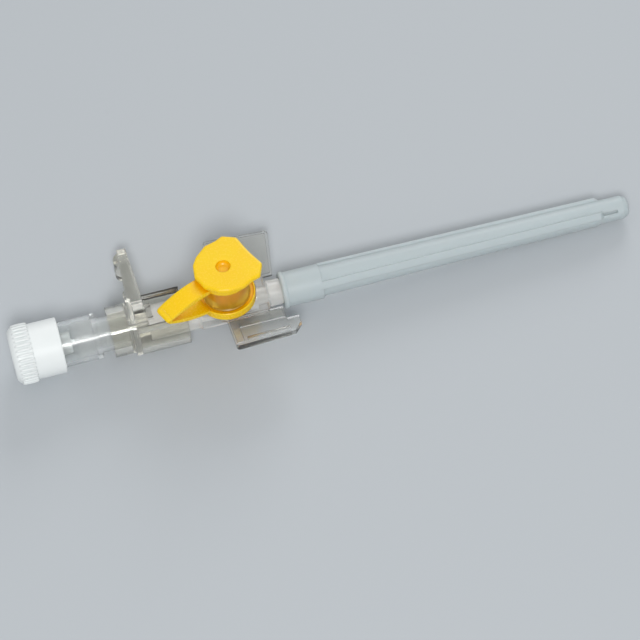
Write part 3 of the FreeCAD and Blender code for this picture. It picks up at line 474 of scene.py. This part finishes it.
# Turns a closed profile about the X or the Z axis
def turnProfile(name, corners, axis="X", segments=96):
    line = softenProfile(corners)
    shape = bmesh.new()
    rings = []
    for point in line:
        if point.y < turnValues["onAxis"]:
            spot = (point.x, 0, 0) if axis == "X" else (0, 0, point.x)
            rings.append([shape.verts.new(spot)])
            continue
        ring = []
        for step in range(segments):
            angle = 2 * math.pi * step / segments
            across, up = point.y * math.cos(angle), point.y * math.sin(angle)
            spot = (point.x, across, up) if axis == "X" else (across, up, point.x)
            ring.append(shape.verts.new(spot))
        rings.append(ring)
    for here, there in zip(rings, rings[1:] + rings[:1]):
        if len(here) == 1 and len(there) == 1:
            continue
        for step in range(segments):
            after = (step + 1) % segments
            if len(here) == 1:
                shape.faces.new((here[0], there[after], there[step]))
            elif len(there) == 1:
                shape.faces.new((here[step], here[after], there[0]))
            else:
                shape.faces.new((here[step], here[after], there[after], there[step]))
    bmesh.ops.recalc_face_normals(shape, faces=shape.faces)
    mesh = bpy.data.meshes.new(name)
    shape.to_mesh(mesh)
    shape.free()
    for face in mesh.polygons:
        face.use_smooth = True
    return mesh


# Lengths in millimetres in the part's own frame, the turn in radians
ribInputs = {
    "Count": "Int", "Start": "Float", "Length": "Float", "Ring Radius": "Float", "Rib Radius": "Float",
    "Turn": "Float", "Sharpness": "Float", "Finish": "Material",
}
ribValues = {"points": 12, "sides": 10, "merge": 0.0005}  # points closer than "merge" close a rib's ends


# Ribs with round backs, evenly round the X axis and tapered at both ends. A low sharpness makes them blunt.
def ribTree(name, values):
    tree = bpy.data.node_groups.new(name, "GeometryNodeTree")
    for label, kind in ribInputs.items():
        tree.interface.new_socket(name=label, in_out="INPUT", socket_type="NodeSocket" + kind)
    tree.interface.new_socket(name="Geometry", in_out="OUTPUT", socket_type="NodeSocketGeometry")
    given = addNode(tree, "NodeGroupInput").outputs

    # one rib along X, its thickness 4 f (1 - f) to the power of the sharpness
    end = addNode(tree, "ShaderNodeCombineXYZ", None, {"X": given["Length"]})
    line = addNode(tree, "GeometryNodeCurvePrimitiveLine", None, {"End": end.outputs[0]})
    points = addNode(tree, "GeometryNodeResampleCurve", {"Count": values["points"]},
                     {"Curve": line.outputs["Curve"]})
    along = addNode(tree, "GeometryNodeSplineParameter").outputs["Factor"]
    rest = addNode(tree, "ShaderNodeMath", {"operation": "SUBTRACT", 0: 1.0}, {1: along})
    hump = addNode(tree, "ShaderNodeMath", {"operation": "MULTIPLY"}, {0: along, 1: rest.outputs[0]})
    tall = addNode(tree, "ShaderNodeMath", {"operation": "MULTIPLY", 1: 4.0}, {0: hump.outputs[0]})
    blunt = addNode(tree, "ShaderNodeMath", {"operation": "POWER"},
                    {0: tall.outputs[0], 1: given["Sharpness"]})
    thick = addNode(tree, "ShaderNodeMath", {"operation": "MULTIPLY"},
                    {0: blunt.outputs[0], 1: given["Rib Radius"]})
    section = addNode(tree, "GeometryNodeCurvePrimitiveCircle",
                      {"Resolution": values["sides"], "Radius": 1.0})
    rib = addNode(tree, "GeometryNodeCurveToMesh", None,
                  {"Curve": points.outputs["Curve"], "Profile Curve": section.outputs["Curve"],
                   "Scale": thick.outputs[0]})
    closed = addNode(tree, "GeometryNodeMergeByDistance", {"Distance": values["merge"]},
                     {"Geometry": rib.outputs["Mesh"]})
    smooth = addNode(tree, "GeometryNodeSetShadeSmooth", None, {"Geometry": closed.outputs["Geometry"]})

    # where each one stands on the ring
    index = addNode(tree, "GeometryNodeInputIndex").outputs[0]
    pitch = addNode(tree, "ShaderNodeMath", {"operation": "DIVIDE", 0: 2 * math.pi}, {1: given["Count"]})
    angle = addNode(tree, "ShaderNodeMath", {"operation": "MULTIPLY_ADD"},
                    {0: index, 1: pitch.outputs[0], 2: given["Turn"]}).outputs[0]
    across = addNode(tree, "ShaderNodeMath", {"operation": "COSINE"}, {0: angle})
    up = addNode(tree, "ShaderNodeMath", {"operation": "SINE"}, {0: angle})
    spot = addNode(tree, "ShaderNodeCombineXYZ", None, {"Y": across.outputs[0], "Z": up.outputs[0]})
    ring = addNode(tree, "ShaderNodeVectorMath", {"operation": "SCALE"},
                   {"Vector": spot.outputs[0], "Scale": given["Ring Radius"]})
    first = addNode(tree, "ShaderNodeCombineXYZ", None, {"X": given["Start"]})
    site = addNode(tree, "ShaderNodeVectorMath", {"operation": "ADD"},
                   {0: ring.outputs["Vector"], 1: first.outputs[0]})
    sites = addNode(tree, "GeometryNodePoints", None,
                    {"Count": given["Count"], "Position": site.outputs["Vector"]})
    lean = addNode(tree, "ShaderNodeCombineXYZ", None, {"X": angle})
    ribs = addNode(tree, "GeometryNodeInstanceOnPoints", None,
                   {"Points": sites.outputs[0], "Instance": smooth.outputs["Geometry"],
                    "Rotation": lean.outputs[0]})
    real = addNode(tree, "GeometryNodeRealizeInstances", None, {"Geometry": ribs.outputs["Instances"]})
    painted = addNode(tree, "GeometryNodeSetMaterial", None,
                      {"Geometry": real.outputs["Geometry"], "Material": given["Finish"]})
    addNode(tree, "NodeGroupOutput", None, {"Geometry": painted.outputs["Geometry"]})
    return tree


# Runs a tree once and keeps what it makes as a plain mesh
def growPiece(name, tree, inputs, matrix):
    holder = bpy.data.objects.new(name, bpy.data.meshes.new(name))
    bpy.context.scene.collection.objects.link(holder)
    modifier = holder.modifiers.new("grow", "NODES")
    modifier.node_group = tree
    for item in tree.interface.items_tree:
        if item.name in inputs:
            modifier[item.identifier] = inputs[item.name]
    bpy.context.view_layer.update()
    seen = bpy.context.evaluated_depsgraph_get()
    mesh = bpy.data.meshes.new_from_object(
        holder.evaluated_get(seen), preserve_all_data_layers=True, depsgraph=seen)
    holder.modifiers.clear()
    holder.data = mesh
    mesh.transform(matrix)
    return holder


ribs = ribTree("evenRibs", ribValues)

# The plug: turned body with a sloped back, ribs for the fingers and a male cone inside the chamber
plugValues = {
    "profile": [  # place along X, radius, rounding
        (-37.9, 0.6, 0.1), (-37.9, 3.7, 0.3), (-40.0, 3.7, 0.1), (-40.0, 4.4, 0.35), (-39.2, 5.25, 0.3),
        (-36.25, 5.25, 0.08), (-36.25, 5.1, 0.08), (-30.9, 5.1, 0.3), (-30.9, 4.3, 0.15),
        (-36.7, 4.3, 0.2), (-36.7, 2.0, 0.2), (-29.1, 2.0, 0.2), (-29.1, 1.3, 0.1), (-36.6, 1.3, 0.1),
        (-36.6, 0.6, 0.1)],
    "ribs": {"Count": 36, "Start": -39.25, "Length": 3.15, "Ring Radius": 5.26, "Rib Radius": 0.27,
             "Turn": 0.0, "Sharpness": 0.3},
}


def makePlug(values):
    finish = finishes["luer_plug"]
    body = placePiece("plugBody", turnProfile("plugBody", values["profile"]), laid, finish)
    grip = growPiece("plugGripRibs", ribs, {**values["ribs"], "Finish": finish}, laid)
    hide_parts("luer_plug")
    for piece in (body, grip):
        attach(piece, "plug")


makePlug(plugValues)
print("plug made")

# The cap's plug, pressed tight into the port, so that its colour shows through the clear wall
capPlugValues = {
    "profile": [  # place along Z, radius, rounding
        (9.85, 0.0, 0), (9.85, 2.15, 0), (9.7, 2.162, 0), (3.99, 1.99, 0.1), (3.99, 0.0, 0)],
    "segments": 64,
}
capPlugMesh = turnProfile("capPlug", capPlugValues["profile"], "Z", capPlugValues["segments"])
capPlug = placePiece("capPlug", capPlugMesh, laidStrap, deeperAmberFinish)
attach(capPlug, "cap")

# The ring's bore grips the port's foot without an air gap, so the clear foot shows its yellow
ringBoreValues = {
    "profile": [(2.2, 4.138, 0), (3.28, 4.138, 0), (3.28, 4.3, 0), (2.2, 4.3, 0)],
    "segments": 64,
}
ringBoreMesh = turnProfile("ringBore", ringBoreValues["profile"], "Z", ringBoreValues["segments"])
ringBore = placePiece("ringBore", ringBoreMesh, laidStrap, deeperAmberFinish)
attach(ringBore, "strap_ring")

# The film fold that joins the strap's two halves
foldValues = {
    "reach": -13.6, "height": 7.85, "halfWidth": 1.85,
    "corner": 0.55,  # the round of its two ends
    "steps": 24,  # across its width
    "blendReach": 0.3,  # below and above its middle it goes over from one half to the other
    "waist": 0.5,  # the section's points before this are the fold's outside, which the round ends draw in
    "section": [(0.75, -0.62), (0.1, -0.5), (-0.16, -0.28), (-0.24, 0.0), (-0.16, 0.28), (0.1, 0.46),
                (0.75, 0.5), (0.75, 0.1), (0.25, 0.0), (0.75, -0.1)],
}


def makeFold(values):
    shape = bmesh.new()
    half, corner = values["halfWidth"], values["corner"]
    rows = []
    for step in range(values["steps"] + 1):
        across = -half + half * 2 * step / values["steps"]
        edge = max(0.0, abs(across) - (half - corner)) / corner
        pull = corner * (1 - math.sqrt(max(0.0, 1 - edge * edge)))
        row = []
        for x, z in values["section"]:
            drawnIn = pull if x < values["waist"] else 0
            row.append(shape.verts.new((values["reach"] + x + drawnIn, across, values["height"] + z)))
        rows.append(row)
    for here, there in zip(rows, rows[1:]):
        for i in range(len(here)):
            j = (i + 1) % len(here)
            shape.faces.new((here[i], here[j], there[j], there[i]))
    shape.faces.new(rows[0][::-1])
    shape.faces.new(rows[-1])
    bmesh.ops.recalc_face_normals(shape, faces=shape.faces)
    mesh = bpy.data.meshes.new("strapFold")
    shape.to_mesh(mesh)
    shape.free()
    piece = placePiece("strapFold", mesh, laidStrap, finishes["port_cap"])
    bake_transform(piece)


makeFold(foldValues)
print("cap's plug, ring's bore and strap fold made")

# Stripes that show on an X-ray, along the catheter
catheterStripeValues = {
    "Count": 4, "Start": 5.3, "Length": 25.4, "Ring Radius": 0.335, "Rib Radius": 0.05, "Turn": 0.4,
    "Sharpness": 0.05,
}
stripes = growPiece("catheterStripes", ribs, {**catheterStripeValues, "Finish": stripeFinish}, laid)
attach(stripes, "hub")
print("catheter stripes made")
